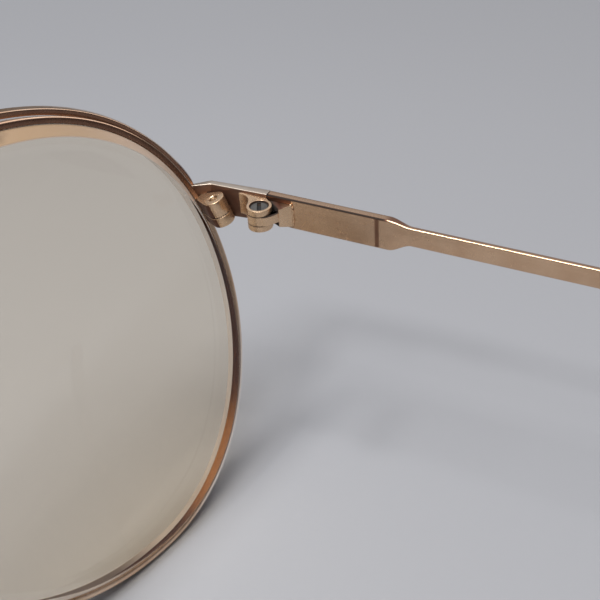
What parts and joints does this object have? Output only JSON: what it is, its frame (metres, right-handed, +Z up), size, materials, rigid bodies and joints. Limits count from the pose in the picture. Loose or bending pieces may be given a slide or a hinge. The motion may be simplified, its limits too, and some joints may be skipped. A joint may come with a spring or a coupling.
{
  "type": "aviator eyeglasses",
  "caption": "Gold wire aviator eyeglasses with a brow bar, lightly tinted lenses, screwed rims, nose pads that rock and temples that fold on barrel hinges.",
  "frame": {"origin": "middle of the width and length, on the table that the open glasses stand on", "axes": "+X to the wearer's left, +Y backwards along the temples, +Z up"},
  "size_m": [0.1296, 0.1496, 0.0534],
  "materials": {
    "gold": "soft polished gold plate",
    "steel": "turned and slotted",
    "lens": "clear resin with a pale brown tint",
    "pad": "translucent moulded pad",
    "tip": "polished dark brown acetate"
  },
  "bodies": {
    "front": {"rim_right": "gold", "rim_left": "gold", "end_piece_right": "gold", "end_piece_left": "gold", "rim_lock_upper_right": "gold", "rim_lock_upper_left": "gold", "rim_lock_lower_right": "gold", "rim_lock_lower_left": "gold", "front_hinge_right": "gold", "front_hinge_left": "gold", "brow_stay_right": "gold", "brow_stay_left": "gold", "pad_arm_right": "gold", "pad_arm_left": "gold", "pad_box_right": "gold", "pad_box_left": "gold", "rim_lock_screw_right": "steel", "rim_lock_screw_left": "steel", "hinge_screw_right": "steel", "hinge_screw_left": "steel", "pad_screw_right": "steel", "pad_screw_left": "steel", "lens_right": "lens", "lens_left": "lens", "bridge": "gold", "brow_bar": "gold"},
    "temple_arm_right": {"temple_hinge_right": "gold", "temple_right": "gold", "temple_tip_right": "tip"},
    "temple_arm_left": {"temple_hinge_left": "gold", "temple_left": "gold", "temple_tip_left": "tip"},
    "pad_right": {"nose_pad_right": "pad"},
    "pad_left": {"nose_pad_left": "pad"}
  },
  "joints": [
    {"name": "temple_right_fold", "type": "hinge", "parent": "front", "child": "temple_arm_right", "pos_m": [-0.0615, -0.05284, 0.0338], "axis": [0, 0, -1], "range_deg": [0, 82]},
    {"name": "temple_left_fold", "type": "hinge", "parent": "front", "child": "temple_arm_left", "pos_m": [0.0615, -0.05284, 0.0338], "axis": [0, 0, 1], "range_deg": [0, 90]},
    {"name": "pad_right_rock", "type": "hinge", "parent": "front", "child": "pad_right", "pos_m": [-0.01082, -0.05964, 0.02342], "axis": [-0.4226, 0.9063, 0], "range_deg": [-8, 8]},
    {"name": "pad_left_rock", "type": "hinge", "parent": "front", "child": "pad_left", "pos_m": [0.01082, -0.05964, 0.02342], "axis": [0.4226, 0.9063, 0], "range_deg": [-8, 8]}
  ]
}
